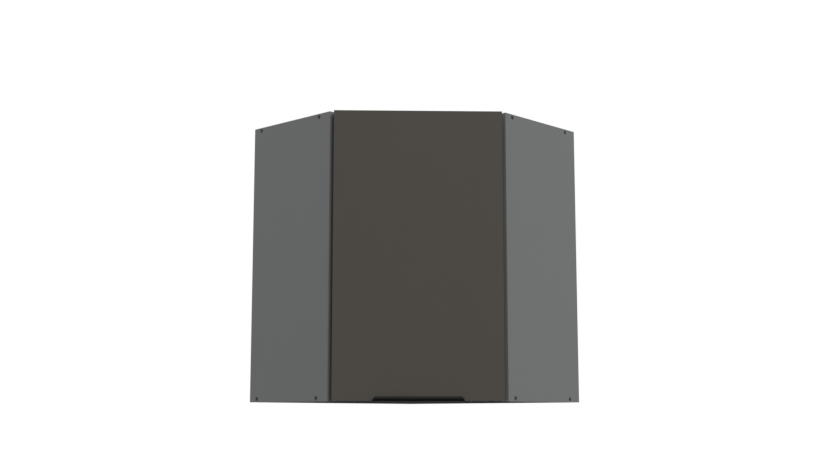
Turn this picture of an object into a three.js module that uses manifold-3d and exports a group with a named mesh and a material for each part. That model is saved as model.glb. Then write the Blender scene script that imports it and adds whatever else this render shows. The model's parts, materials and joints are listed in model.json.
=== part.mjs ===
// Corner wall cabinet with one diagonal door.
// Frame: the room corner at the height of the cabinet's underside is the origin. One wall is the
// plane X = 0, the other the plane Y = 0, and the cabinet lies at X > 0, Y < 0. +Z is up.
// "Left" and "right" are as seen by someone who stands in front of the door.
// Each wall leg is described by two distances: "along" from the room corner, "off" from its wall.

import * as THREE from 'three';
import { mergeVertices } from 'three/addons/utils/BufferGeometryUtils.js';
import Module from 'manifold-3d';

const wasm = await Module();
wasm.setup();

// ---------------------------------------------------------------- driving dimensions (mm)

// Carcass
const LEG_LENGTH = 600; // each side, along its wall from the room corner
const CARCASS_HEIGHT = 716;
const SIDE_DEPTH = 290; // side panels, out from the wall
const BOARD = 16; // side, top and bottom boards
const FRONT_SETBACK = 4; // top and bottom boards, behind the line of the side panels' outer corners

// Back panels, in grooves, with room for a wall rail behind them
const BACK_BOARD = 3;
const RAIL_SPACE = 18;
const GROOVE_DEPTH = 8;
const GROOVE_PLAY = 0.3;
const CORNER_POST = 40; // square batten in the rear corner

// Shelves and their pins
const SHELF_BOARD = 16;
const SHELF_HEIGHTS = { lower: 232, upper: 466 }; // undersides
const SHELF_PLAY = 1.5;
const SHELF_SETBACK = 29; // behind the line of the side panels' outer corners
const PIN_HOLE_RADIUS = 2.8;
const PIN_HOLE_DEPTH = 9;
const PIN_HOLE_PITCH = 32;
const PIN_STEM_RADIUS = 2.5;
const PIN_STEM_LENGTH = 8;
const PIN_STEM_REACH = 8; // under the tongue
const PIN_STEM_SEAT = 1; // how far the stem is let into the tongue
const PIN_TONGUE_START = 0.5;
const PIN_TONGUE_LENGTH = 10;
const PIN_TONGUE_WIDTH = 8;
const PIN_TONGUE_THICKNESS = 2;
const PIN_FRONT_INSET = 50; // pin centre from the side panel's front edge
const PIN_REAR_INSET = 60; // pin centre from the wall

// Connector screws through the side panels into the top and bottom boards
const CONNECTOR_INSET_SHORT = 27;
const CONNECTOR_INSET_LONG = 40;
const CONNECTOR_HEAD_RADIUS = 5;
const CONNECTOR_HEAD_HEIGHT = 3;
const CONNECTOR_HEAD_SINK = 0.4; // below the panel's outer face
const CONNECTOR_SHANK_RADIUS = 3.5;
const CONNECTOR_LENGTH = 50;
const CONNECTOR_HOLE_LENGTH = 52;
const CONNECTOR_SOCKET_RADIUS = 1.5;
const CONNECTOR_SOCKET_DEPTH = 2.2;

// Door
const DOOR_EDGE_GAP = 10.7; // door's side edges, from the side panels' outer front corners
const DOOR_END_GAP = 1.5; // above and below
const DOOR_STANDOFF = 1.5; // in front of the side panels' outer corners
const DOOR_THICKNESS = 16;
const OPEN_ANGLE = THREE.MathUtils.degToRad(95);

// Handle: a bent profile on the door's bottom edge
const HANDLE_LENGTH = 224;
const HANDLE_SHEET = 1.5;
const HANDLE_REACH = 17; // lip's front face, in front of the door's face
const HANDLE_LIP_HEIGHT = 11.5;
const HANDLE_SLOPE_HEIGHT = 6.3; // where the sloped underside meets the upright lip
const HANDLE_SLOPE_DEPTH = 9;
const HANDLE_BEND_RISE = 1; // from the outer to the inner bend between slope and lip
const HANDLE_END_SLANT = 7;
const HANDLE_TAB_LENGTH = 200;
const HANDLE_TAB_HEIGHT = 26;
const HANDLE_SCREW_SPACING = 128;
const HANDLE_SCREW_HEIGHT = 16;

// Bumpers between the door and the top and bottom boards
const BUMPER_RADIUS = 5;
const BUMPER_INSET = 18; // from the door's free edge
const BUMPER_CROWN = 0.4; // share of the thickness that is rounded
const BUMPER_CROWN_STEPS = 3;

// Hinges. Places on the door are measured from its hinge-side back edge: x along the door, y into
// the cabinet. The door turns about HINGE_PIVOT. A link joins an arm pin to a cup pin, and the arm
// pin lies on the bisector of the cup pin's closed and open places, so that the link meets the
// cup pin at both ends of the swing.
const HINGE_INSET = 90; // hinge centre from the door's top and bottom edges
const HINGE_PIVOT = [9.55, -9.33];
const OUTER_CUP_PIN = [9.74, -2.96];
const OUTER_ARM_PIN_DISTANCE = 31.87; // from HINGE_PIVOT
const OUTER_LINK_BENDS = [[26.2, 5.7], [17.8, -4.2]];
const INNER_CUP_PIN = [9.25, -7.79];
const INNER_ARM_PIN_DISTANCE = 27.06;
const INNER_LINK_BENDS = [[24.5, 10.4], [20.4, -8.2]];
const LINK_HALF_THICKNESS = 1;
const LINK_EYE_RADIUS = 2;
const OUTER_LINK_LEVELS = [4.2, 5.8]; // two side plates, distances from the hinge's middle
const INNER_LINK_HALF_WIDTH = 3.4;
const RIVET_RADIUS = 1.5;
const RIVET_HALF_LENGTH = 8;
const RIVET_PLAY = 0.3;

const CUP_RADIUS = 17.5;
const CUP_CENTRE = 22; // from the door's edge
const CUP_DEPTH = 12;
const CUP_WALL = 1;
const CUP_FLANGE = 0.7;
const CUP_FLANGE_RADIUS = 6; // round each screw
const CUP_SCREW_SPACING = 48;
const CUP_SCREW_OFFSET = 8;

const ARM_HALF_WIDTH = 7.6;
const ARM_SHEET = 1.4;
const ARM_NOSE_RADIUS = 3.4;
const ARM_TOP = 17; // above the side panel
const ARM_FOOT = 9;
const ARM_TAIL = 66; // behind the side panel's front edge
const ARM_CRANK_START = 10;
const ARM_CRANK_END = -6;
const ARM_WEB_PLAY = 0.9; // between a rivet or link and the web over it

const PLATE_CENTRE = 37; // behind the side panel's front edge
const PLATE_LENGTH = 40;
const PLATE_HALF_WIDTH = 24;
const PLATE_THICKNESS = 2;
const PLATE_RIDGE_LENGTH = 50;
const PLATE_RIDGE_PLAY = 0.4;
const PLATE_SCREW_SPACING = 32;

// Small screws
const SMALL_HEAD_RADIUS = 3.6;
const SMALL_HEAD_HEIGHT = 1.4;
const SMALL_SHANK_RADIUS = 1.8;
const SMALL_SCREW_LENGTH = 11;

// Wall hangers, one in each outer rear top corner
const HANGER_WIDTH = 20; // along the wall, from the side panel
const HANGER_DEPTH = 50;
const HANGER_HEIGHT = 60;
const HANGER_TOP_GAP = 8;
const HANGER_BACK_GAP = 0.5;
const HOOK_THICKNESS = 3;
const HOOK_BAR_HEIGHT = 10;
const HOOK_NOSE_LENGTH = 18;
const HOOK_NOSE_THICKNESS = 4;
const HOOK_WALL_GAP = 2;
const HOOK_TAIL = 48; // from the wall
const HOOK_TRAVEL = 8; // drawn in by the adjusting screw
const HOOK_PLAY = 0.5;
const HOOK_DROP = 20; // hook's top edge, below the housing's top
const HOOK_WINDOW_MARGIN = 4; // round the hook in the back panel
const ADJUSTER_RADIUS = 2.6;
const ADJUSTER_HEAD_RADIUS = 4;
const ADJUSTER_HEAD_HEIGHT = 2;
const ADJUSTER_HEAD_SEAT = 1; // how far the shank runs into the head

// Clearances
const PLAY = 0.3; // around what passes through or seats in another piece
const CIRCLE_SIDES = 12;
const HEAD_SIDES = 20;
const CUP_SIDES = 32;
const CUT = 5; // how far a cutter runs past the face that it opens

// ---------------------------------------------------------------- sizes that follow

const HALF = Math.SQRT1_2;
const CORNER_LINE = (LEG_LENGTH + SIDE_DEPTH) * HALF; // outer front corners, from the room corner
const OPENING_WIDTH = (LEG_LENGTH - SIDE_DEPTH) / HALF;
const DOOR_WIDTH = OPENING_WIDTH - 2 * DOOR_EDGE_GAP;
const INNER_FACE = LEG_LENGTH - BOARD; // side panels' inner faces, along each leg
const BACK_FACE = RAIL_SPACE + BACK_BOARD; // back panels' inner faces, off the wall
const DOOR_BACK = -DOOR_STANDOFF; // in the door frame, whose y = 0 is the line of outer corners
const DOOR_FACE = DOOR_BACK - DOOR_THICKNESS;
const DOOR_BOTTOM = DOOR_END_GAP;
const DOOR_TOP = CARCASS_HEIGHT - DOOR_END_GAP;
const HINGE_LEVELS = { lower: DOOR_BOTTOM + HINGE_INSET, upper: DOOR_TOP - HINGE_INSET };

// ---------------------------------------------------------------- materials

function finish(name, color, roughness, metalness) {
  return new THREE.MeshStandardMaterial({ name, color, roughness, metalness });
}

const carcassBoard = finish('carcass_board', 0x6b6c6b, 0.55, 0);
const doorBoard = finish('door_board', 0x4b4843, 0.5, 0);
const backBoard = finish('back_board', 0x8a8a88, 0.65, 0);
const batten = finish('batten', 0x6b6c6b, 0.6, 0);
const blackMetal = finish('black_metal', 0x1a1a1a, 0.45, 0.4);
const capSteel = finish('connector_steel', 0x3e3d3b, 0.5, 0.6);
const hingeSteel = finish('hinge_steel', 0xb8b8b6, 0.3, 0.95);
const zincSteel = finish('zinc_steel', 0xa9aaa8, 0.35, 0.9);
const greyPlastic = finish('grey_plastic', 0xb4b4b0, 0.5, 0);
const clearRubber = finish('bumper_rubber', 0xcfcfc8, 0.4, 0);

// ---------------------------------------------------------------- solids

// Turns a closed three.js geometry into a solid that can be joined and cut.
function solidFrom(geometry) {
  const bare = geometry.clone();
  bare.deleteAttribute('normal');
  bare.deleteAttribute('uv');
  const merged = mergeVertices(bare, 1e-4);
  const index = merged.index.array;
  const triangles = [];
  for (let i = 0; i < index.length; i += 3) {
    const [a, b, c] = [index[i], index[i + 1], index[i + 2]];
    if (a !== b && b !== c && c !== a) triangles.push(a, b, c);
  }
  return new wasm.Manifold(new wasm.Mesh({
    numProp: 3,
    vertProperties: new Float32Array(merged.attributes.position.array),
    triVerts: new Uint32Array(triangles),
  }));
}

function geometryFrom(solid) {
  const { vertProperties, triVerts } = solid.getMesh();
  const geometry = new THREE.BufferGeometry();
  geometry.setAttribute('position', new THREE.BufferAttribute(vertProperties.slice(), 3));
  geometry.setIndex(new THREE.BufferAttribute(triVerts.slice(), 1));
  geometry.computeVertexNormals();
  return geometry;
}

function pieceFrom(name, solid, material) {
  const mesh = new THREE.Mesh(geometryFrom(solid), material);
  mesh.name = name;
  return mesh;
}

function box([x0, x1], [y0, y1], [z0, z1]) {
  const geometry = new THREE.BoxGeometry(Math.abs(x1 - x0), Math.abs(y1 - y0), Math.abs(z1 - z0));
  return solidFrom(geometry.translate((x0 + x1) / 2, (y0 + y1) / 2, (z0 + z1) / 2));
}

// A round bar along 'x', 'y' or 'z' from one place to another on that axis.
function rod(axis, [from, to], [p, q], radius, sides = CIRCLE_SIDES) {
  const geometry = new THREE.CylinderGeometry(radius, radius, Math.abs(to - from), sides);
  const middle = (from + to) / 2;
  if (axis === 'x') return solidFrom(geometry.rotateZ(Math.PI / 2).translate(middle, p, q));
  if (axis === 'y') return solidFrom(geometry.translate(p, middle, q));
  return solidFrom(geometry.rotateX(Math.PI / 2).translate(p, q, middle));
}

// An upright prism over an outline in the XY plane.
function prism(points, [z0, z1]) {
  const shape = new THREE.Shape(points.map(([x, y]) => new THREE.Vector2(x, y)));
  const geometry = new THREE.ExtrudeGeometry(shape, { depth: z1 - z0, bevelEnabled: false });
  return solidFrom(geometry.translate(0, 0, z0));
}

// A strip of even thickness with round ends that follows a bent line in the XY plane.
function strap(points, halfThickness, levels, endRadius = halfThickness) {
  const last = points.length - 1;
  let solid = rod('z', levels, points[0], endRadius);
  for (let i = 0; i < last; i += 1) {
    const [x0, y0] = points[i];
    const [x1, y1] = points[i + 1];
    const length = Math.hypot(x1 - x0, y1 - y0);
    const side = [(-(y1 - y0) / length) * halfThickness, ((x1 - x0) / length) * halfThickness];
    const bar = prism([
      [x0 - side[0], y0 - side[1]],
      [x1 - side[0], y1 - side[1]],
      [x1 + side[0], y1 + side[1]],
      [x0 + side[0], y0 + side[1]],
    ], levels);
    const bendRadius = i + 1 === last ? endRadius : halfThickness;
    solid = solid.add(bar).add(rod('z', levels, points[i + 1], bendRadius));
  }
  return solid;
}

// ---------------------------------------------------------------- wall legs

// In a leg's group x is the distance along its wall and y is side times the distance off it.
const LEGS = [
  { name: 'left', turn: -Math.PI / 2, side: 1, wallInset: CONNECTOR_INSET_SHORT,
    frontInset: CONNECTOR_INSET_LONG },
  { name: 'right', turn: 0, side: -1, wallInset: CONNECTOR_INSET_LONG,
    frontInset: CONNECTOR_INSET_SHORT },
];

function legGroup(leg) {
  const group = new THREE.Group();
  group.rotation.z = leg.turn;
  return group;
}

function legBox(leg, along, off, levels) {
  return box(along, [leg.side * off[0], leg.side * off[1]], levels);
}

// A leg's solid, in the cabinet's own frame.
function turnedWith(leg, solid) {
  return solid.rotate([0, 0, THREE.MathUtils.radToDeg(leg.turn)]);
}

function connectorPlaces(leg) {
  const offs = [leg.wallInset, SIDE_DEPTH - leg.frontInset];
  const levels = [BOARD / 2, CARCASS_HEIGHT - BOARD / 2];
  return levels.flatMap((level) => offs.map((off) => ({ off, level })));
}

// A shelf pin's stem, below the shelf's underside.
const PIN_STEM_DROP = PIN_TONGUE_THICKNESS + PIN_STEM_RADIUS - PIN_STEM_SEAT;

function shelfPinPlaces() {
  const offs = [PIN_REAR_INSET, SIDE_DEPTH - PIN_FRONT_INSET];
  return Object.entries(SHELF_HEIGHTS).flatMap(([shelf, height]) => offs.map((off, i) => ({
    shelf,
    end: i === 0 ? 'rear' : 'front',
    off,
    level: height - PIN_STEM_DROP,
  })));
}

function connectorHole(leg, { off, level }) {
  const at = [leg.side * off, level];
  const seat = LEG_LENGTH - CONNECTOR_HEAD_SINK - CONNECTOR_HEAD_HEIGHT - PLAY;
  const head = rod('x', [seat, LEG_LENGTH + CUT], at, CONNECTOR_HEAD_RADIUS + PLAY, HEAD_SIDES);
  const shank = rod('x', [LEG_LENGTH - CONNECTOR_HOLE_LENGTH, LEG_LENGTH], at,
    CONNECTOR_SHANK_RADIUS + PLAY);
  return head.add(shank);
}

function plateScrewPlaces(level) {
  return [-1, 1].map((end) => level + (end * PLATE_SCREW_SPACING) / 2);
}

function sidePanel(leg) {
  let panel = legBox(leg, [INNER_FACE, LEG_LENGTH], [0, SIDE_DEPTH], [0, CARCASS_HEIGHT]);
  const groove = legBox(leg, [INNER_FACE - CUT, INNER_FACE + GROOVE_DEPTH],
    [RAIL_SPACE - GROOVE_PLAY, BACK_FACE + GROOVE_PLAY],
    [BOARD - GROOVE_DEPTH, CARCASS_HEIGHT - BOARD + GROOVE_DEPTH]);
  panel = panel.subtract(groove);
  for (const place of connectorPlaces(leg)) {
    panel = panel.subtract(connectorHole(leg, place));
  }
  const holeSpan = [INNER_FACE - CUT, INNER_FACE + PIN_HOLE_DEPTH];
  for (const { off, level } of shelfPinPlaces()) {
    for (const step of [-1, 0, 1]) {
      const at = [leg.side * off, level + step * PIN_HOLE_PITCH];
      panel = panel.subtract(rod('x', holeSpan, at, PIN_HOLE_RADIUS));
    }
  }
  if (leg.name === 'left') {
    for (const level of Object.values(HINGE_LEVELS).flatMap(plateScrewPlaces)) {
      const at = [leg.side * (SIDE_DEPTH - PLATE_CENTRE), level];
      const span = [INNER_FACE - CUT, INNER_FACE + SMALL_SCREW_LENGTH];
      panel = panel.subtract(rod('x', span, at, SMALL_SHANK_RADIUS + PLAY));
    }
  }
  return pieceFrom(`side_panel_${leg.name}`, panel, carcassBoard);
}

function connectorScrew(leg, place, name) {
  const at = [leg.side * place.off, place.level];
  const top = LEG_LENGTH - CONNECTOR_HEAD_SINK;
  const head = rod('x', [top - CONNECTOR_HEAD_HEIGHT, top], at, CONNECTOR_HEAD_RADIUS, HEAD_SIDES);
  const shank = rod('x', [LEG_LENGTH - CONNECTOR_LENGTH, top - CONNECTOR_HEAD_HEIGHT / 2], at,
    CONNECTOR_SHANK_RADIUS);
  const socket = rod('x', [top - CONNECTOR_SOCKET_DEPTH, top + CUT], at,
    CONNECTOR_SOCKET_RADIUS, 6);
  return pieceFrom(name, head.add(shank).subtract(socket), capSteel);
}

function connectorScrews(leg) {
  const names = ['bottom_rear', 'bottom_front', 'top_rear', 'top_front'];
  return connectorPlaces(leg).map((place, i) => (
    connectorScrew(leg, place, `connector_screw_${leg.name}_${names[i]}`)
  ));
}

// A pin with a round stem and a flat tongue that the shelf lies on, built with its stem on x < 0.
function shelfPin(name) {
  const stem = rod('x', [-PIN_STEM_LENGTH, PIN_STEM_REACH], [0, -PIN_STEM_DROP], PIN_STEM_RADIUS);
  const tongue = box([PIN_TONGUE_START, PIN_TONGUE_LENGTH],
    [-PIN_TONGUE_WIDTH / 2, PIN_TONGUE_WIDTH / 2], [-PIN_TONGUE_THICKNESS, 0]);
  return pieceFrom(name, stem.add(tongue), zincSteel);
}

function sideShelfPins(leg) {
  return shelfPinPlaces().map(({ shelf, end, off }) => {
    const pin = shelfPin(`shelf_pin_${shelf}_${leg.name}_${end}`);
    pin.position.set(INNER_FACE, leg.side * off, SHELF_HEIGHTS[shelf]);
    pin.rotation.z = Math.PI;
    return pin;
  });
}

function postPinOff() {
  return (BACK_FACE + CORNER_POST) / 2;
}

function postShelfPins() {
  return Object.entries(SHELF_HEIGHTS).map(([shelf, height]) => {
    const pin = shelfPin(`shelf_pin_${shelf}_corner`);
    pin.position.set(CORNER_POST, -postPinOff(), height);
    return pin;
  });
}

// ---------------------------------------------------------------- horizontal boards

// The outline of a board between the side panels: its diagonal front edge lies setback behind the
// line of the side panels' outer corners, and its sides keep play to what they meet.
function boardOutline(setback, play, rear) {
  const end = INNER_FACE - play;
  const reach = (CORNER_LINE - setback) / HALF - end;
  return [...rear, [rear[rear.length - 1][0], -end], [reach, -end], [end, -reach],
    [end, rear[0][1]]];
}

function backGrooves(levels) {
  let grooves = null;
  for (const leg of LEGS) {
    const groove = turnedWith(leg, legBox(leg, [RAIL_SPACE - GROOVE_PLAY, LEG_LENGTH],
      [RAIL_SPACE - GROOVE_PLAY, BACK_FACE + GROOVE_PLAY], levels));
    grooves = grooves ? grooves.add(groove) : groove;
  }
  return grooves;
}

function endBoard(name, levels, grooveLevels) {
  let board = prism(boardOutline(FRONT_SETBACK, 0, [[0, 0]]), levels);
  board = board.subtract(backGrooves(grooveLevels));
  for (const leg of LEGS) {
    for (const place of connectorPlaces(leg)) {
      board = board.subtract(turnedWith(leg, connectorHole(leg, place)));
    }
  }
  return pieceFrom(name, board, carcassBoard);
}

function bottomPanel() {
  return endBoard('bottom_panel', [0, BOARD], [BOARD - GROOVE_DEPTH, BOARD + CUT]);
}

function topPanel() {
  const underside = CARCASS_HEIGHT - BOARD;
  return endBoard('top_panel', [underside, CARCASS_HEIGHT],
    [underside - CUT, underside + GROOVE_DEPTH]);
}

function shelf(name, height) {
  const near = BACK_FACE + SHELF_PLAY;
  const notch = CORNER_POST + SHELF_PLAY;
  const rear = [[notch, -near], [notch, -notch], [near, -notch]];
  const outline = boardOutline(SHELF_SETBACK, SHELF_PLAY, rear);
  return pieceFrom(name, prism(outline, [height, height + SHELF_BOARD]), carcassBoard);
}

// ---------------------------------------------------------------- backs and corner post

function hookLevels() {
  const top = CARCASS_HEIGHT - BOARD - HANGER_TOP_GAP - HOOK_DROP;
  return [top - HOOK_BAR_HEIGHT, top];
}

function hookAlong() {
  const middle = INNER_FACE - HANGER_WIDTH / 2;
  return [middle - HOOK_THICKNESS / 2, middle + HOOK_THICKNESS / 2];
}

function backPanel(leg) {
  const along = [CORNER_POST - GROOVE_DEPTH + GROOVE_PLAY, INNER_FACE + GROOVE_DEPTH - GROOVE_PLAY];
  const levels = [BOARD - GROOVE_DEPTH + GROOVE_PLAY,
    CARCASS_HEIGHT - BOARD + GROOVE_DEPTH - GROOVE_PLAY];
  const [hookLow, hookHigh] = hookLevels();
  const [hookNear, hookFar] = hookAlong();
  const window = legBox(leg, [hookNear - HOOK_WINDOW_MARGIN, hookFar + HOOK_WINDOW_MARGIN],
    [RAIL_SPACE - CUT, BACK_FACE + CUT],
    [hookLow - HOOK_WINDOW_MARGIN, hookHigh + HOOK_WINDOW_MARGIN]);
  const panel = legBox(leg, along, [RAIL_SPACE, BACK_FACE], levels).subtract(window);
  return pieceFrom(`back_panel_${leg.name}`, panel, backBoard);
}

function cornerPost() {
  const levels = [BOARD, CARCASS_HEIGHT - BOARD];
  let post = box([0, CORNER_POST], [-CORNER_POST, 0], levels);
  const mouth = [CORNER_POST - GROOVE_DEPTH, CORNER_POST + CUT];
  const slot = [-BACK_FACE - GROOVE_PLAY, -RAIL_SPACE + GROOVE_PLAY];
  const grooveLevels = [levels[0] - CUT, levels[1] + CUT];
  post = post.subtract(box(mouth, slot, grooveLevels));
  post = post.subtract(box([-slot[1], -slot[0]], [-mouth[1], -mouth[0]], grooveLevels));
  for (const height of Object.values(SHELF_HEIGHTS)) {
    const at = [-postPinOff(), height - PIN_STEM_DROP];
    post = post.subtract(rod('x', [CORNER_POST - PIN_HOLE_DEPTH, CORNER_POST + CUT], at,
      PIN_HOLE_RADIUS));
  }
  return pieceFrom('corner_post', post, batten);
}

// ---------------------------------------------------------------- wall hangers

function hangerOff() {
  const near = BACK_FACE + HANGER_BACK_GAP;
  return [near, near + HANGER_DEPTH];
}

function hangerLevels() {
  const top = CARCASS_HEIGHT - BOARD - HANGER_TOP_GAP;
  return [top - HANGER_HEIGHT, top];
}

function hangerHousing(leg) {
  const off = hangerOff();
  const [hookLow, hookHigh] = hookLevels();
  const [hookNear, hookFar] = hookAlong();
  const housing = legBox(leg, [INNER_FACE - HANGER_WIDTH, INNER_FACE], off, hangerLevels());
  const pocket = legBox(leg, [hookNear - HOOK_PLAY, hookFar + HOOK_PLAY],
    [off[0] - CUT, HOOK_TAIL + HOOK_TRAVEL + HOOK_PLAY],
    [hookLow - HOOK_PLAY, hookHigh + HOOK_PLAY]);
  const middle = [(hookNear + hookFar) / 2, (hookLow + hookHigh) / 2];
  const bore = rod('y', [leg.side * off[0], leg.side * (off[1] + CUT)], middle,
    ADJUSTER_RADIUS + PLAY);
  return pieceFrom(`hanger_housing_${leg.name}`, housing.subtract(pocket).subtract(bore),
    greyPlastic);
}

function hangerHook(leg) {
  const [low, high] = hookLevels();
  const bar = legBox(leg, hookAlong(), [HOOK_WALL_GAP, HOOK_TAIL], [low, high]);
  const nose = legBox(leg, hookAlong(), [HOOK_WALL_GAP, HOOK_WALL_GAP + HOOK_NOSE_THICKNESS],
    [high - HOOK_NOSE_LENGTH, high]);
  return pieceFrom(`hanger_hook_${leg.name}`, bar.add(nose), zincSteel);
}

function hangerAdjuster(leg) {
  const [low, high] = hookLevels();
  const [near, far] = hookAlong();
  const at = [(near + far) / 2, (low + high) / 2];
  const seat = hangerOff()[1] + PLAY;
  const tip = HOOK_TAIL + HOOK_TRAVEL + HOOK_PLAY;
  const shank = rod('y', [leg.side * tip, leg.side * (seat + ADJUSTER_HEAD_SEAT)], at,
    ADJUSTER_RADIUS);
  const head = rod('y', [leg.side * seat, leg.side * (seat + ADJUSTER_HEAD_HEIGHT)], at,
    ADJUSTER_HEAD_RADIUS);
  return pieceFrom(`hanger_adjuster_${leg.name}`, shank.add(head), zincSteel);
}

// ---------------------------------------------------------------- hinge places

// The arm pin for a cup pin, in the door's own measure.
function armPin([x, y], distance) {
  const closed = Math.atan2(y - HINGE_PIVOT[1], x - HINGE_PIVOT[0]);
  const direction = closed - OPEN_ANGLE / 2;
  return [HINGE_PIVOT[0] + distance * Math.cos(direction),
    HINGE_PIVOT[1] + distance * Math.sin(direction)];
}

// A place on the door, in the arm's measure: forward of the side panel's front edge, and off its
// inner face.
function onArm([x, y]) {
  const dx = x - (BOARD * HALF - DOOR_EDGE_GAP);
  const dy = y - (BOARD * HALF + DOOR_STANDOFF);
  return [(dx - dy) * HALF, (dx + dy) * HALF];
}

const outerArmPin = armPin(OUTER_CUP_PIN, OUTER_ARM_PIN_DISTANCE);
const innerArmPin = armPin(INNER_CUP_PIN, INNER_ARM_PIN_DISTANCE);

// ---------------------------------------------------------------- hinge pieces on the cabinet

function hingeArm(name) {
  const outer = onArm(outerArmPin);
  const inner = onArm(innerArmPin);
  const web = outer[1] + RIVET_RADIUS + ARM_WEB_PLAY + ARM_SHEET;
  const nose = outer[0] + ARM_NOSE_RADIUS;
  const profile = [
    [nose, web],
    [ARM_CRANK_START, web],
    [ARM_CRANK_END, ARM_TOP],
    [-ARM_TAIL, ARM_TOP],
    [-ARM_TAIL, ARM_FOOT],
    [0, ARM_FOOT],
    [inner[0] - ARM_SHEET, inner[1] - ARM_NOSE_RADIUS],
    [nose, outer[1]],
  ];
  const channel = [
    [nose + CUT, web - ARM_SHEET],
    [ARM_CRANK_START - ARM_SHEET / 2, web - ARM_SHEET],
    [ARM_CRANK_END - ARM_SHEET / 2, ARM_TOP - ARM_SHEET],
    [-ARM_TAIL - CUT, ARM_TOP - ARM_SHEET],
    [-ARM_TAIL - CUT, -CUT],
    [nose + CUT, -CUT],
  ];
  const levels = [-ARM_HALF_WIDTH, ARM_HALF_WIDTH];
  const between = [ARM_SHEET - ARM_HALF_WIDTH, ARM_HALF_WIDTH - ARM_SHEET];
  let arm = prism(profile, levels).add(strap([outer, inner], ARM_NOSE_RADIUS, levels));
  arm = arm.subtract(prism(channel, between));
  for (const pin of [outer, inner]) {
    arm = arm.subtract(rod('z', [levels[0] - CUT, levels[1] + CUT], pin,
      RIVET_RADIUS + RIVET_PLAY));
  }
  return pieceFrom(name, arm, hingeSteel);
}

function mountingPlate(name) {
  const middle = -PLATE_CENTRE;
  const base = box([middle - PLATE_LENGTH / 2, middle + PLATE_LENGTH / 2], [0, PLATE_THICKNESS],
    [-PLATE_HALF_WIDTH, PLATE_HALF_WIDTH]);
  const ridgeHalf = ARM_HALF_WIDTH - ARM_SHEET - PLATE_RIDGE_PLAY;
  const ridge = box([middle - PLATE_RIDGE_LENGTH / 2, middle + PLATE_RIDGE_LENGTH / 2],
    [0, ARM_TOP - ARM_SHEET - PLATE_RIDGE_PLAY], [-ridgeHalf, ridgeHalf]);
  let plate = base.add(ridge);
  for (const level of plateScrewPlaces(0)) {
    plate = plate.subtract(rod('y', [-CUT, PLATE_THICKNESS + CUT], [middle, level],
      SMALL_SHANK_RADIUS + PLAY));
  }
  return pieceFrom(name, plate, hingeSteel);
}

// A small screw along +y: its head's underside is at y = 0 and its shank points to y < 0.
function smallScrew(name) {
  const head = rod('y', [0, SMALL_HEAD_HEIGHT], [0, 0], SMALL_HEAD_RADIUS);
  const shank = rod('y', [-SMALL_SCREW_LENGTH, SMALL_HEAD_HEIGHT / 2], [0, 0],
    SMALL_SHANK_RADIUS);
  return pieceFrom(name, head.add(shank), zincSteel);
}

function placeScrew(name, x, y, z) {
  const screw = smallScrew(name);
  screw.position.set(x, y, z);
  return screw;
}

function cabinetHinge(level, height) {
  const group = new THREE.Group();
  group.position.set(SIDE_DEPTH, -INNER_FACE, height);
  group.add(hingeArm(`hinge_arm_${level}`));
  group.add(mountingPlate(`hinge_plate_${level}`));
  plateScrewPlaces(0).forEach((place, i) => {
    const end = i === 0 ? 'low' : 'high';
    group.add(placeScrew(`hinge_plate_screw_${level}_${end}`, -PLATE_CENTRE,
      PLATE_THICKNESS, place));
  });
  return group;
}

// ---------------------------------------------------------------- links

function outerLink(name) {
  const line = [outerArmPin, ...OUTER_LINK_BENDS, OUTER_CUP_PIN];
  const [low, high] = OUTER_LINK_LEVELS;
  const upper = strap(line, LINK_HALF_THICKNESS, [low, high], LINK_EYE_RADIUS);
  const lower = strap(line, LINK_HALF_THICKNESS, [-high, -low], LINK_EYE_RADIUS);
  const rivet = rod('z', [-RIVET_HALF_LENGTH, RIVET_HALF_LENGTH], outerArmPin, RIVET_RADIUS);
  return pieceFrom(name, upper.add(lower).add(rivet), hingeSteel);
}

function innerLink(name) {
  const line = [innerArmPin, ...INNER_LINK_BENDS, INNER_CUP_PIN];
  const levels = [-INNER_LINK_HALF_WIDTH, INNER_LINK_HALF_WIDTH];
  const plate = strap(line, LINK_HALF_THICKNESS, levels, LINK_EYE_RADIUS);
  const rivet = rod('z', [-RIVET_HALF_LENGTH, RIVET_HALF_LENGTH], innerArmPin, RIVET_RADIUS);
  return pieceFrom(name, plate.add(rivet), hingeSteel);
}

// ---------------------------------------------------------------- hinge cup, on the door

function hingeCup(name) {
  const centre = [CUP_CENTRE, 0];
  const flangeTop = PLAY + CUP_FLANGE;
  const flangeLevels = [PLAY, flangeTop];
  const tabX = CUP_CENTRE + CUP_SCREW_OFFSET;
  const tabReach = CUP_SCREW_SPACING / 2;
  const bridge = box([tabX - CUP_FLANGE_RADIUS, tabX + CUP_FLANGE_RADIUS], flangeLevels,
    [-tabReach, tabReach]);
  const pocket = rod('y', [CUP_WALL - CUP_DEPTH, flangeTop + CUT], centre,
    CUP_RADIUS - CUP_WALL, CUP_SIDES);
  let cup = rod('y', [-CUP_DEPTH, flangeTop], centre, CUP_RADIUS, CUP_SIDES).add(bridge);
  for (const end of [-1, 1]) {
    cup = cup.add(rod('y', flangeLevels, [tabX, end * tabReach], CUP_FLANGE_RADIUS, HEAD_SIDES));
  }
  cup = cup.subtract(pocket);
  for (const end of [-1, 1]) {
    cup = cup.subtract(rod('y', [-CUT, flangeTop + CUT], [tabX, end * tabReach],
      SMALL_SHANK_RADIUS + PLAY));
  }
  return pieceFrom(name, cup, hingeSteel);
}

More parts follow.
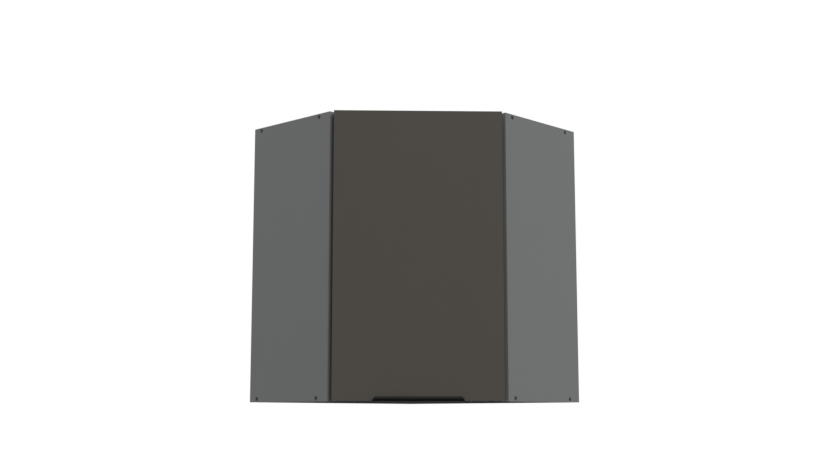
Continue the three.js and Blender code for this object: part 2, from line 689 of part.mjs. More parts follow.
function doorHinge(level, height) {
  const group = new THREE.Group();
  group.position.set(-DOOR_WIDTH / 2, DOOR_BACK, height);
  group.add(outerLink(`hinge_outer_link_${level}`));
  group.add(innerLink(`hinge_inner_link_${level}`));
  group.add(hingeCup(`hinge_cup_${level}`));
  for (const end of [-1, 1]) {
    const side = end < 0 ? 'low' : 'high';
    group.add(placeScrew(`hinge_cup_screw_${level}_${side}`, CUP_CENTRE + CUP_SCREW_OFFSET,
      2 * PLAY + CUP_FLANGE, (end * CUP_SCREW_SPACING) / 2));
  }
  return group;
}

// ---------------------------------------------------------------- door, handle and bumpers

function doorPanel() {
  const half = DOOR_WIDTH / 2;
  let panel = box([-half, half], [DOOR_FACE, DOOR_BACK], [DOOR_BOTTOM, DOOR_TOP]);
  for (const height of Object.values(HINGE_LEVELS)) {
    const cupX = CUP_CENTRE - half;
    panel = panel.subtract(rod('y', [DOOR_BACK - CUP_DEPTH - PLAY, DOOR_BACK + CUT],
      [cupX, height], CUP_RADIUS + PLAY, CUP_SIDES));
    for (const end of [-1, 1]) {
      const at = [cupX + CUP_SCREW_OFFSET, height + (end * CUP_SCREW_SPACING) / 2];
      panel = panel.subtract(rod('y', [DOOR_BACK - SMALL_SCREW_LENGTH, DOOR_BACK + CUT], at,
        SMALL_SHANK_RADIUS + PLAY));
    }
  }
  for (const x of handleScrewPlaces()) {
    panel = panel.subtract(rod('y', [DOOR_BACK - SMALL_SCREW_LENGTH, DOOR_BACK + CUT],
      [x, DOOR_BOTTOM + HANDLE_SCREW_HEIGHT], SMALL_SHANK_RADIUS + PLAY));
  }
  return pieceFrom('door_panel', panel, doorBoard);
}

function handleScrewPlaces() {
  return [-HANDLE_SCREW_SPACING / 2, HANDLE_SCREW_SPACING / 2];
}

// The handle's bent part has this section across the door: y towards the cabinet, z up.
function handleSection() {
  const front = DOOR_FACE - HANDLE_REACH;
  const low = DOOR_BOTTOM - HANDLE_SHEET;
  const floor = DOOR_BOTTOM - PLAY;
  const tabFace = DOOR_BACK + PLAY + HANDLE_SHEET;
  const slopeFoot = front + HANDLE_SLOPE_DEPTH;
  return [
    [tabFace, low],
    [slopeFoot, low],
    [front, HANDLE_SLOPE_HEIGHT],
    [front, HANDLE_LIP_HEIGHT],
    [front + HANDLE_SHEET, HANDLE_LIP_HEIGHT],
    [front + HANDLE_SHEET, HANDLE_SLOPE_HEIGHT + HANDLE_BEND_RISE],
    [slopeFoot + HANDLE_SHEET / 2, floor],
    [tabFace, floor],
  ];
}

function doorHandle() {
  const half = HANDLE_LENGTH / 2;
  // The section is drawn in XY and stood up so that it runs along the door.
  const bent = prism(handleSection(), [-half, half]).rotate([90, 0, 90]);
  const tab = box([-HANDLE_TAB_LENGTH / 2, HANDLE_TAB_LENGTH / 2],
    [DOOR_BACK + PLAY, DOOR_BACK + PLAY + HANDLE_SHEET],
    [DOOR_BOTTOM - HANDLE_SHEET, DOOR_BOTTOM + HANDLE_TAB_HEIGHT]);
  let handle = bent.add(tab);
  for (const end of [-1, 1]) {
    // A wedge that leaves each end of the lip slanted.
    const wedge = prism([
      [end * half, 0],
      [end * (half + CUT), 0],
      [end * (half + CUT), HANDLE_LIP_HEIGHT + CUT],
      [end * (half - HANDLE_END_SLANT * (1 + CUT / HANDLE_LIP_HEIGHT)), HANDLE_LIP_HEIGHT + CUT],
    ], [0, HANDLE_REACH + DOOR_THICKNESS]).rotate([90, 0, 0]);
    handle = handle.subtract(wedge.translate([0, DOOR_BACK, 0]));
  }
  for (const x of handleScrewPlaces()) {
    handle = handle.subtract(rod('y', [DOOR_BACK - CUT, DOOR_BACK + CUT],
      [x, DOOR_BOTTOM + HANDLE_SCREW_HEIGHT], SMALL_SHANK_RADIUS + PLAY));
  }
  return pieceFrom('door_handle', handle, blackMetal);
}

function handleScrews() {
  return handleScrewPlaces().map((x, i) => placeScrew(
    `handle_screw_${i === 0 ? 'left' : 'right'}`,
    x,
    DOOR_BACK + 2 * PLAY + HANDLE_SHEET,
    DOOR_BOTTOM + HANDLE_SCREW_HEIGHT,
  ));
}

// A soft dome, flat on the door and rounded where it meets the board's edge.
function bumper(name, height) {
  const thickness = DOOR_STANDOFF + FRONT_SETBACK - 2 * PLAY;
  const crown = thickness * BUMPER_CROWN;
  const profile = [[0, 0], [BUMPER_RADIUS, 0], [BUMPER_RADIUS, thickness - crown]];
  for (let step = 1; step <= BUMPER_CROWN_STEPS; step += 1) {
    const angle = (step / BUMPER_CROWN_STEPS) * (Math.PI / 2);
    profile.push([BUMPER_RADIUS - crown + crown * Math.cos(angle),
      thickness - crown + crown * Math.sin(angle)]);
  }
  profile.push([0, thickness]);
  const points = profile.map(([r, y]) => new THREE.Vector2(r, y));
  const dome = pieceFrom(name, solidFrom(new THREE.LatheGeometry(points, CIRCLE_SIDES)),
    clearRubber);
  dome.position.set(DOOR_WIDTH / 2 - BUMPER_INSET, DOOR_BACK + PLAY, height);
  return dome;
}

function doorAssembly() {
  const group = new THREE.Group();
  group.position.set(CORNER_LINE * HALF, -CORNER_LINE * HALF, 0);
  group.rotation.z = Math.PI / 4;
  group.add(doorPanel(), doorHandle(), ...handleScrews());
  group.add(bumper('bumper_lower', BOARD / 2), bumper('bumper_upper', CARCASS_HEIGHT - BOARD / 2));
  for (const [level, height] of Object.entries(HINGE_LEVELS)) {
    group.add(doorHinge(level, height));
  }
  return group;
}

// ---------------------------------------------------------------- assembly

function legAssembly(leg) {
  const group = legGroup(leg);
  group.add(sidePanel(leg), backPanel(leg));
  group.add(hangerHousing(leg), hangerHook(leg), hangerAdjuster(leg));
  group.add(...connectorScrews(leg), ...sideShelfPins(leg));
  return group;
}

function carcass() {
  const group = new THREE.Group();
  for (const leg of LEGS) group.add(legAssembly(leg));
  group.add(bottomPanel(), topPanel(), cornerPost(), ...postShelfPins());
  for (const [name, height] of Object.entries(SHELF_HEIGHTS)) {
    group.add(shelf(`shelf_${name}`, height));
  }
  for (const [level, height] of Object.entries(HINGE_LEVELS)) {
    group.add(cabinetHinge(level, height));
  }
  return group;
}

const cabinet = new THREE.Group();
cabinet.add(carcass(), doorAssembly());

export default cabinet;
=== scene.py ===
import json
import math

import bmesh
import bpy
from mathutils import Matrix, Vector


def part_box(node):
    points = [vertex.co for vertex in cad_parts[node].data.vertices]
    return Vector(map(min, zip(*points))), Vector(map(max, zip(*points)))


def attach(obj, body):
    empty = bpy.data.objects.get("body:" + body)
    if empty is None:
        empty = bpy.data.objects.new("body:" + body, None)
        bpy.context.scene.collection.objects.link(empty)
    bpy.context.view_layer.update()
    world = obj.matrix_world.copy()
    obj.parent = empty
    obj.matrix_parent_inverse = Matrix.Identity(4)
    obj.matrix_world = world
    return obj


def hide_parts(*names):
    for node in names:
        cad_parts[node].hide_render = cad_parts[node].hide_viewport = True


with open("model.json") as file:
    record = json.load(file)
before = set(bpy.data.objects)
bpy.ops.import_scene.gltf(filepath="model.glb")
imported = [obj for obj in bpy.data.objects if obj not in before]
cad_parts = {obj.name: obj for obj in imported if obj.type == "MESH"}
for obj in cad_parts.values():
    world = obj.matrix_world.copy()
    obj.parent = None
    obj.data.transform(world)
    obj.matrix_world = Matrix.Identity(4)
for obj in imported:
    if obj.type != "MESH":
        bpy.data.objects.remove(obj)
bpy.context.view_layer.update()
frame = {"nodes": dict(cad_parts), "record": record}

NODES = frame["nodes"]
MM = 0.001

# ------------------------------------------------------------------ places taken from the frame

RIGHT = Vector((1, 1, 0)).normalized()  # along the door, as seen from the room
OUT = Vector((1, -1, 0)).normalized()  # from the room corner towards the viewer
UP = Vector((0, 0, 1))

LEFT_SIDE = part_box("side_panel_left")
RIGHT_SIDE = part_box("side_panel_right")
HEIGHT = LEFT_SIDE[1].z
BOARD = RIGHT_SIDE[1].x - RIGHT_SIDE[0].x
CORNERS_MIDDLE = Vector((
    (LEFT_SIDE[1].x + RIGHT_SIDE[1].x) / 2,
    (LEFT_SIDE[0].y + RIGHT_SIDE[0].y) / 2,
    0,
))
# The door's own measure: x along the door, y into the cabinet, z up, from the middle of the
# line through the side panels' outer front corners.
DOOR_FRAME = Matrix.Translation(CORNERS_MIDDLE) @ Matrix.Rotation(math.pi / 4, 4, "Z")


def door_points(node):
    """A node's points in the door's own measure."""
    inverse = DOOR_FRAME.inverted()
    return [inverse @ vertex.co for vertex in NODES[node].data.vertices]


def door_box(node):
    """A node's lowest and highest corners in the door's own measure."""
    points = door_points(node)
    low = Vector(min(p[i] for p in points) for i in range(3))
    high = Vector(max(p[i] for p in points) for i in range(3))
    return low, high


DOOR_LOW, DOOR_HIGH = door_box("door_panel")
HINGE_LEVELS = {
    level: (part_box(f"hinge_cup_{level}")[0].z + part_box(f"hinge_cup_{level}")[1].z) / 2
    for level in ("lower", "upper")
}

# ------------------------------------------------------------------ colours (sRGB, 0 to 255)

GREY_BOARD = (106, 108, 107)
GREY_BAND = (105, 107, 106)
DOOR_BROWN_GREY = (69, 66, 61)
CHIP_LIGHT = (198, 173, 136)
CHIP_DARK = (122, 96, 68)
FIBRE_BROWN = (120, 96, 72)
PALE_BACK = (172, 172, 169)
POWDER_BLACK = (31, 31, 30)
# edge colour of the black powder coat: rubbed wear and a painted highlight
RUBBED_AND_HIGHLIT_BLACK = (74, 73, 71)
CAP_DARK = (66, 65, 63)
NICKEL = (196, 195, 190)
ZINC = (178, 181, 182)
HOUSING_GREY = (176, 176, 172)
NICKEL_EDGE = (232, 231, 226)
ZINC_EDGE = (222, 224, 226)
BUMPER_CLEAR = (214, 214, 206)

# Specular levels. The white room is mirrored from every side, so dark surfaces get very little.
BOARD_GLOSS = 0.1
UNDERSIDE_GLOSS = 0.0
BAND_GLOSS = 0.06
DOOR_GLOSS = 0.07
POWDER_GLOSS = 0.009
CAP_GLOSS = 0.12
HARDBOARD_GLOSS = 0.25
PLASTIC_GLOSS = 0.4


def linear(color, factor=1.0):
    """An sRGB colour as the linear values that a shader takes."""
    values = []
    for channel in color:
        c = channel / 255
        c = c / 12.92 if c <= 0.04045 else ((c + 0.055) / 1.055) ** 2.4
        values.append(min(1.0, c * factor))
    return (*values, 1.0)


# ------------------------------------------------------------------ material building blocks

WANDER_SCALE = 2.5  # of the noise that frays the chips, against the chips' own scale
EDGE_SAMPLES = 4
EDGE_COSINES = (0.75, 0.98)  # between a rounded and a plain normal, on an edge and on a face


class Recipe:
    """A material's node tree with short calls for what the finishes share."""

    def __init__(self, name, roughness, metallic=0.0, specular=0.5):
        self.material = bpy.data.materials.new(name)
        self.material.use_nodes = True
        self.tree = self.material.node_tree
        self.shader = self.tree.nodes["Principled BSDF"]
        self.shader.inputs["Roughness"].default_value = roughness
        self.shader.inputs["Metallic"].default_value = metallic
        self.shader.inputs["Specular IOR Level"].default_value = specular
        self.coordinates = self.tree.nodes.new("ShaderNodeTexCoord").outputs["Object"]

    def node(self, kind, **settings):
        """A new node with its properties set."""
        node = self.tree.nodes.new(kind)
        for key, value in settings.items():
            setattr(node, key, value)
        return node

    def link(self, source, target):
        self.tree.links.new(source, target)

    def stretched(self, stretch):
        """The coordinates, each times its own factor."""
        mapping = self.node("ShaderNodeMapping")
        mapping.inputs["Scale"].default_value = stretch
        self.link(self.coordinates, mapping.inputs["Vector"])
        return mapping.outputs["Vector"]

    def noise(self, scale, detail=3.0, roughness=0.55, stretch=(1, 1, 1)):
        """Noise from 0 to 1; scale is in features per metre."""
        noise = self.node("ShaderNodeTexNoise")
        noise.inputs["Scale"].default_value = scale
        noise.inputs["Detail"].default_value = detail
        noise.inputs["Roughness"].default_value = roughness
        self.link(self.stretched(stretch), noise.inputs["Vector"])
        return noise.outputs["Fac"]

    def chips(self, scale, stretch, fray):
        """A value from 0 to 1 that steps from chip to chip; fray is how far their edges wander."""
        wander = self.node("ShaderNodeTexNoise")
        wander.inputs["Scale"].default_value = WANDER_SCALE * scale
        self.link(self.coordinates, wander.inputs["Vector"])
        moved = self.node("ShaderNodeVectorMath", operation="MULTIPLY_ADD")
        moved.inputs[1].default_value = (fray, fray, fray)
        self.link(wander.outputs["Color"], moved.inputs[0])
        self.link(self.stretched(stretch), moved.inputs[2])
        cells = self.node("ShaderNodeTexVoronoi")
        cells.inputs["Scale"].default_value = scale
        self.link(moved.outputs["Vector"], cells.inputs["Vector"])
        channels = self.node("ShaderNodeSeparateColor")
        self.link(cells.outputs["Color"], channels.inputs["Color"])
        return channels.outputs["Red"]

    def spread(self, value, low, high, start=0.0, end=1.0):
        """Maps start..end of a value to low..high."""
        remap = self.node("ShaderNodeMapRange")
        remap.inputs["From Min"].default_value = start
        remap.inputs["From Max"].default_value = end
        remap.inputs["To Min"].default_value = low
        remap.inputs["To Max"].default_value = high
        self.link(value, remap.inputs["Value"])
        return remap.outputs["Result"]

    def math(self, operation, first, second):
        """The result of a calculation with two values, each a number or a socket."""
        node = self.node("ShaderNodeMath", operation=operation)
        for socket, value in zip(node.inputs, (first, second)):
            if isinstance(value, (int, float)):
                socket.default_value = value
            else:
                self.link(value, socket)
        return node.outputs["Value"]

    def weigh(self, parts):
        """Adds up values, each given with its share."""
        total = None
        for value, share in parts:
            part = self.math("MULTIPLY", value, share)
            total = part if total is None else self.math("ADD", total, part)
        return total

    def blend(self, factor, first, second):
        """Mixes two colours, each a constant or a socket."""
        mix = self.node("ShaderNodeMix", data_type="RGBA")
        self.link(factor, mix.inputs["Factor"])
        for socket, value in ((mix.inputs[6], first), (mix.inputs[7], second)):
            if isinstance(value, tuple):
                socket.default_value = value
            else:
                self.link(value, socket)
        return mix.outputs[2]

    def edges(self, radius, strength):
        """0 on flat faces, towards strength where two faces meet within radius."""
        rounded = self.node("ShaderNodeBevel", samples=EDGE_SAMPLES)
        rounded.inputs["Radius"].default_value = radius
        plain = self.node("ShaderNodeNewGeometry")
        dot = self.node("ShaderNodeVectorMath", operation="DOT_PRODUCT")
        self.link(rounded.outputs["Normal"], dot.inputs[0])
        self.link(plain.outputs["Normal"], dot.inputs[1])
        sharp, flat = EDGE_COSINES
        return self.spread(dot.outputs["Value"], strength, 0.0, start=sharp, end=flat)

    def coordinate(self, axis):
        """The place along X, Y or Z."""
        parts = self.node("ShaderNodeSeparateXYZ")
        self.link(self.coordinates, parts.inputs["Vector"])
        return parts.outputs[axis]

    def near_walls(self, distance):
        """1 on what lies within distance of either wall plane, X = 0 or Y = 0."""
        left = self.math("LESS_THAN", self.coordinate("X"), distance)
        right = self.math("GREATER_THAN", self.coordinate("Y"), -distance)
        return self.math("MAXIMUM", left, right)

    def above(self, low, high):
        """0 under the height low, 1 over high."""
        return self.spread(self.coordinate("Z"), 0.0, 1.0, start=low, end=high)

    def color(self, source):
        self.link(source, self.shader.inputs["Base Color"])

    def roughness(self, source):
        self.link(source, self.shader.inputs["Roughness"])

    def bump(self, heights, distance):
        """Each height is a value and its share; distance is the relief's depth."""
        bump = self.node("ShaderNodeBump")
        bump.inputs["Strength"].default_value = 1.0
        bump.inputs["Distance"].default_value = distance
        self.link(self.weigh(heights), bump.inputs["Height"])
        self.link(bump.outputs["Normal"], self.shader.inputs["Normal"])


# ------------------------------------------------------------------ materials

# How chips stretch along the edge of a board that lies flat or stands up.
LIES_FLAT = (0.45, 0.45, 1.3)
STANDS_UP = (1.3, 1.3, 0.45)
RAW_EDGE_DEPTH = 0.4 * MM  # what lies this close to a wall plane is a board's raw rear edge
BACK_MIDDLE = 19.5 * MM  # the middle of the back panels' thickness, from the wall planes
PAINTED_LIP_LIGHT_ABOVE = (5 * MM, 7 * MM)  # painted shade under it, painted highlight over it: where the handle's slope turns into its lip


def chipboard(recipe, lie):
    """The colour of a raw sawn edge: pressed chips of many browns, lying along the board."""
    coarse = recipe.chips(scale=500, stretch=lie, fray=1.6 * MM)
    small = recipe.chips(scale=1300, stretch=lie, fray=0.5 * MM)
    dust = recipe.noise(1900, detail=4)
    tone = recipe.weigh([(coarse, 0.45), (small, 0.3), (dust, 0.25)])
    return recipe.blend(tone, linear(CHIP_DARK), linear(CHIP_LIGHT))


def melamine_board(name, gloss, lie):
    """Grey melamine with a fine pearl and thin dark seams where face and edge band meet.

    Raw chipboard shows where the board stands against a wall; lie is how its chips stretch.
    """
    recipe = Recipe(name, 0.6, specular=gloss)
    cloud = recipe.spread(recipe.noise(7, detail=2), -0.5, 0.5)
    speckle = recipe.spread(recipe.noise(2600, detail=2), 0.0, 1.0, start=0.3, end=0.7)
    tone = recipe.weigh([(cloud, 0.25), (speckle, 0.75)])
    face = recipe.blend(tone, linear(GREY_BOARD, 0.955), linear(GREY_BOARD, 1.045))
    seam = recipe.edges(radius=0.8 * MM, strength=0.7)
    face = recipe.blend(seam, face, linear(GREY_BOARD, 0.45))
    raw_edge = recipe.near_walls(RAW_EDGE_DEPTH)
    recipe.color(recipe.blend(raw_edge, face, chipboard(recipe, lie)))
    smear = recipe.noise(18, detail=3, stretch=(1, 1, 0.35))
    recipe.roughness(recipe.spread(smear, 0.55, 0.68))
    pearl = recipe.noise(1400, detail=2)
    pits = recipe.math("MULTIPLY", raw_edge, recipe.noise(700, detail=4, stretch=lie))
    recipe.bump([(pearl, 0.07), (speckle, 0.03), (pits, 0.9)], distance=0.5 * MM)
    return recipe.material


def edge_band_material():
    """The plastic band glued on front edges: a little darker, with faint lines along it."""
    recipe = Recipe("edge_band", 0.5, specular=BAND_GLOSS)
    lines = recipe.noise(900, detail=2, stretch=(1, 1, 0.04))
    recipe.color(recipe.blend(lines, linear(GREY_BAND, 0.93), linear(GREY_BAND, 1.07)))
    recipe.roughness(recipe.spread(lines, 0.45, 0.6))
    recipe.bump([(lines, 1.0)], distance=0.03 * MM)
    return recipe.material


def door_material():
    """Warm dark grey, matt: a close even skin with the softest clouding."""
    recipe = Recipe("door_foil", 0.5, specular=DOOR_GLOSS)
    cloud = recipe.noise(4.5, detail=3, stretch=(1, 1, 0.5))
    skin = recipe.noise(3200, detail=2)
    tone = recipe.weigh([(cloud, 0.55), (skin, 0.45)])
    face = recipe.blend(tone, linear(DOOR_BROWN_GREY, 0.93), linear(DOOR_BROWN_GREY, 1.07))
    seam = recipe.edges(radius=0.9 * MM, strength=0.7)
    recipe.color(recipe.blend(seam, face, linear(DOOR_BROWN_GREY, 0.45)))
    recipe.roughness(recipe.spread(recipe.noise(14, detail=3), 0.44, 0.58))
    pores = recipe.noise(700, detail=2)
    recipe.bump([(skin, 0.5), (pores, 0.5)], distance=0.035 * MM)
    return recipe.material


def back_board_material():
    """Thin hardboard: painted towards the room, raw brown fibre towards the wall."""
    recipe = Recipe("hardboard", 0.6, specular=HARDBOARD_GLOSS)
    fibre = recipe.noise(850, detail=5, roughness=0.7, stretch=(1, 1, 0.5))
    blotches = recipe.noise(11, detail=5, roughness=0.65)
    stain = recipe.spread(blotches, 0.0, 1.0, start=0.3, end=0.7)
    tone = recipe.weigh([(fibre, 0.78), (stain, 0.22)])
    raw = recipe.blend(tone, linear(FIBRE_BROWN, 0.6), linear(FIBRE_BROWN, 1.4))
    roller = recipe.noise(1200, detail=3)
    painted = recipe.blend(roller, linear(PALE_BACK, 0.95), linear(PALE_BACK, 1.05))
    recipe.color(recipe.blend(recipe.near_walls(BACK_MIDDLE), painted, raw))
    recipe.roughness(recipe.spread(fibre, 0.5, 0.72))
    dust = recipe.noise(2400, detail=2)
    recipe.bump([(fibre, 0.6), (dust, 0.4)], distance=0.08 * MM)
    return recipe.material


def powder_coat_material():
    """Fine matt black powder coat with an orange-peel skin, brighter along its edges: partly wear,
    partly a painted highlight.

    Painted light by height, for every part in this finish: painted shade on the handle's slope
    under 5 mm, a painted highlight on its lip over 7 mm.
    """
    recipe = Recipe("black_powder_coat", 0.5, specular=POWDER_GLOSS)
    grain = recipe.noise(2400, detail=3)
    peel = recipe.noise(420, detail=2)
    painted_shade_below = recipe.blend(grain, linear(POWDER_BLACK, 0.4), linear(POWDER_BLACK, 0.9))
    painted_light_above = recipe.blend(grain, linear(POWDER_BLACK, 0.85), linear(POWDER_BLACK, 1.95))
    # painted light: darker (painted shade) under 5 mm, lighter (painted highlight) over 7 mm
    face = recipe.blend(recipe.above(*PAINTED_LIP_LIGHT_ABOVE), painted_shade_below, painted_light_above)
    # brighter edges: partly rubbed wear, partly a painted highlight
    edge_brightening = recipe.edges(radius=0.4 * MM, strength=0.5)
    recipe.color(recipe.blend(edge_brightening, face, linear(RUBBED_AND_HIGHLIT_BLACK)))
    recipe.roughness(recipe.spread(grain, 0.44, 0.62, start=0.3, end=0.7))
    recipe.bump([(grain, 0.5), (peel, 0.5)], distance=0.14 * MM)
    return recipe.material


def metal_material(name, color, edge_color, roughness, scratch_scale):
    """Plated steel: cloudy plating, fine draw lines and brighter edges."""
    recipe = Recipe(name, roughness, metallic=1.0)
    cloud = recipe.noise(90, detail=3)
    face = recipe.blend(cloud, linear(color, 0.86), linear(color, 1.08))
    worn = recipe.edges(radius=0.3 * MM, strength=0.6)
    recipe.color(recipe.blend(worn, face, linear(edge_color)))
    lines = recipe.noise(scratch_scale, detail=3, stretch=(1, 1, 0.08))
    both = recipe.weigh([(cloud, 0.5), (lines, 0.5)])
    recipe.roughness(recipe.spread(both, roughness - 0.08, roughness + 0.12, start=0.25, end=0.75))
    recipe.bump([(lines, 1.0)], distance=0.02 * MM)
    return recipe.material


def dark_cap_material():
    """Phosphated dark steel, rubbed brighter along its edges."""
    recipe = Recipe("dark_screw_head", 0.55, metallic=0.3, specular=CAP_GLOSS)
    cloud = recipe.noise(700, detail=3)
    face = recipe.blend(cloud, linear(CAP_DARK, 0.8), linear(CAP_DARK, 1.2))
    edge_brightening = recipe.edges(radius=0.25 * MM, strength=0.5)
    recipe.color(recipe.blend(edge_brightening, face, linear(CAP_DARK, 2.2)))
    recipe.roughness(recipe.spread(cloud, 0.48, 0.66))
    recipe.bump([(recipe.noise(2500, detail=2), 1.0)], distance=0.04 * MM)
    return recipe.material


def moulded_plastic_material():
    """Spark-eroded moulded surface, light grey."""
    recipe = Recipe("moulded_plastic", 0.5, specular=PLASTIC_GLOSS)
    grain = recipe.noise(2200, detail=3)
    face = recipe.blend(grain, linear(HOUSING_GREY, 0.95), linear(HOUSING_GREY, 1.04))
    worn = recipe.edges(radius=0.5 * MM, strength=0.4)
    recipe.color(recipe.blend(worn, face, linear(HOUSING_GREY, 1.25)))
    recipe.roughness(recipe.spread(recipe.noise(40, detail=3), 0.42, 0.6))
    recipe.bump([(grain, 1.0)], distance=0.06 * MM)
    return recipe.material


def bumper_material():
    """Soft clear dome that has gathered a little dust."""
    recipe = Recipe("clear_bumper", 0.12, specular=PLASTIC_GLOSS)
    recipe.shader.inputs["Transmission Weight"].default_value = 0.85
    recipe.shader.inputs["IOR"].default_value = 1.49
    dust = recipe.noise(900, detail=4)
    cover = recipe.spread(dust, 0.0, 0.5, start=0.4, end=0.8)
    recipe.color(recipe.blend(cover, linear(BUMPER_CLEAR), linear(BUMPER_CLEAR, 0.6)))
    recipe.roughness(recipe.spread(dust, 0.08, 0.3))
    recipe.bump([(dust, 1.0)], distance=0.02 * MM)
    return recipe.material


MATERIALS = {
    "carcass_board": melamine_board("melamine_grey", BOARD_GLOSS, LIES_FLAT),
    "batten": melamine_board("melamine_batten", BOARD_GLOSS, STANDS_UP),
    "door_board": door_material(),
    "back_board": back_board_material(),
    "black_metal": powder_coat_material(),
    "connector_steel": dark_cap_material(),
    "hinge_steel": metal_material("nickel_plate", NICKEL, NICKEL_EDGE, roughness=0.26,
                                  scratch_scale=1500),
    "zinc_steel": metal_material("zinc_plate", ZINC, ZINC_EDGE, roughness=0.34,
                                 scratch_scale=1100),
    "grey_plastic": moulded_plastic_material(),
    "bumper_rubber": bumper_material(),
}
EDGE_BAND = edge_band_material()
UPRIGHT_BOARD = melamine_board("melamine_upright", BOARD_GLOSS, STANDS_UP)
SPECIAL_NODES = {  # nodes whose finish isn't their slot's
    "bottom_panel": melamine_board("melamine_dull", UNDERSIDE_GLOSS, LIES_FLAT),
    "side_panel_left": UPRIGHT_BOARD,
    "side_panel_right": UPRIGHT_BOARD,
}


# ------------------------------------------------------------------ carried-over CAD nodes

BEVELS = {  # edge radius by material slot
    "carcass_board": 0.5 * MM,
    "batten": 0.8 * MM,
    "door_board": 1.0 * MM,
    "back_board": 0.2 * MM,
    "hinge_steel": 0.25 * MM,
    "zinc_steel": 0.3 * MM,
    "grey_plastic": 1.2 * MM,
    "connector_steel": 0.2 * MM,
    "black_metal": 0.3 * MM,
    "bumper_rubber": 0.2 * MM,
}
BEVEL_ANGLE = math.radians(40)
BEVEL_SEGMENTS = 3


def soften(obj, width):
    """Rounds the edges without touching the mesh."""
    bevel = obj.modifiers.new("edge_radius", "BEVEL")
    bevel.width = width
    bevel.segments = BEVEL_SEGMENTS
    bevel.limit_method = "ANGLE"
    bevel.angle_limit = BEVEL_ANGLE
    bevel.harden_normals = False


def dress_nodes():
    """Gives every CAD node its finish and its edge radius."""
    for part in frame["record"]["subparts"]:
        node = NODES[part["node"]]
        slot = part["material_slot"]
        for material_slot in node.material_slots:
            material_slot.link = "OBJECT"
            material_slot.material = SPECIAL_NODES.get(part["node"], MATERIALS[slot])
        soften(node, BEVELS[slot])


# ------------------------------------------------------------------ mesh building blocks

SHARP_ANGLE = math.radians(35)
SHANK_START = 0.9  # how deep in its head a screw's shank starts, as a share of the head's height


def put(name, mesh_builder, slot, body, place=Matrix.Identity(4), material=None):
    """Makes a piece from a bmesh, sets it in place, ties it to its body and gives it its slot's
    material, or the material given.
    """
    mesh = bpy.data.meshes.new(name)
    bmesh.ops.recalc_face_normals(mesh_builder, faces=mesh_builder.faces)
    mesh_builder.to_mesh(mesh)
    mesh_builder.free()
    mesh.transform(place)
    for polygon in mesh.polygons:
        polygon.use_smooth = True
    mesh.set_sharp_from_angle(angle=SHARP_ANGLE)
    mesh.materials.append(material or MATERIALS[slot])
    piece = bpy.data.objects.new(name, mesh)
    bpy.context.scene.collection.objects.link(piece)
    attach(piece, body)
    return piece


def circle(radius, sides):
    angles = [2 * math.pi * i / sides for i in range(sides)]
    return [(radius * math.cos(angle), radius * math.sin(angle)) for angle in angles]


def loft(builder, rings, cap_end=True):
    """Joins rings of points, each with as many points, and closes the ends."""
    loops = [[builder.verts.new(point) for point in ring] for ring in rings]
    count = len(loops[0])
    for near, far in zip(loops, loops[1:]):
        for i in range(count):
            j = (i + 1) % count
            builder.faces.new((near[i], near[j], far[j], far[i]))
    builder.faces.new(list(reversed(loops[0])))
    if cap_end:
        builder.faces.new(loops[-1])
    return loops


def turned(builder, profile, sides, cap_end=True):
    """A lathe form about z from (radius, height) pairs."""
    rings = [[(x, y, z) for x, y in circle(r, sides)] for r, z in profile]
    return loft(builder, rings, cap_end)


def arc(center, radius, start, end, steps):
    """Points on an arc, angles in degrees."""
    points = []
    for i in range(steps + 1):
        angle = math.radians(start + (end - start) * i / steps)
        points.append((center[0] + radius * math.cos(angle), center[1] + radius * math.sin(angle)))
    return points


def cross_outline(reach, width):
    """A plus sign, as a closed line of twelve points."""
    w = width / 2
    return [(reach, -w), (reach, w), (w, w), (w, reach), (-w, reach), (-w, w), (-reach, w),
            (-reach, -w), (-w, -w), (-w, -reach), (w, -reach), (w, -w)]


def driven_head(builder, profile, sides, outline, depth, taper):
    """A screw head about z with a recess of that outline, narrowing by taper, in its top."""
    loops = turned(builder, profile, sides, cap_end=False)
    top = profile[-1][1]
    rim = [builder.verts.new((x, y, top)) for x, y in outline]
    floor = [builder.verts.new((x * taper, y * taper, top - depth)) for x, y in outline]
    count = len(outline)
    edges = [builder.edges.get((a, b)) or builder.edges.new((a, b))
             for loop in (loops[-1], rim) for a, b in zip(loop, loop[1:] + loop[:1])]
    bmesh.ops.triangle_fill(builder, use_beauty=True, edges=edges)
    for i in range(count):
        j = (i + 1) % count
        builder.faces.new((rim[i], rim[j], floor[j], floor[i]))
    builder.faces.new(floor)


def aim(location, direction, twist=0.0):
    """A place whose z axis points along direction, turned round it by twist radians."""
    turn = Vector(direction).to_track_quat("Z", "Y").to_matrix().to_4x4()
    return Matrix.Translation(location) @ turn @ Matrix.Rotation(twist, 4, "Z")


def center_of(node):
    low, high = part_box(node)
    return (low + high) / 2


# ------------------------------------------------------------------ connector screws

CONNECTOR_HEAD_RADIUS = 5 * MM
CONNECTOR_HEAD_HEIGHT = 2.8 * MM
CONNECTOR_HEAD_ROUND = 0.5 * MM
CONNECTOR_SHOULDER = (0.98, 0.2)  # as shares of the head's radius and height
CONNECTOR_SHANK = 0.62  # as a share of the head's radius
CONNECTOR_TIP = 6 * MM  # by which the shank stays short of the node's end
CONNECTOR_SOCKET_RADIUS = 2.3 * MM
CONNECTOR_SOCKET_DEPTH = 2 * MM
CONNECTOR_SOCKET_TAPER = 0.96
CONNECTOR_SIDES = (40, 24)  # of the head and of the shank


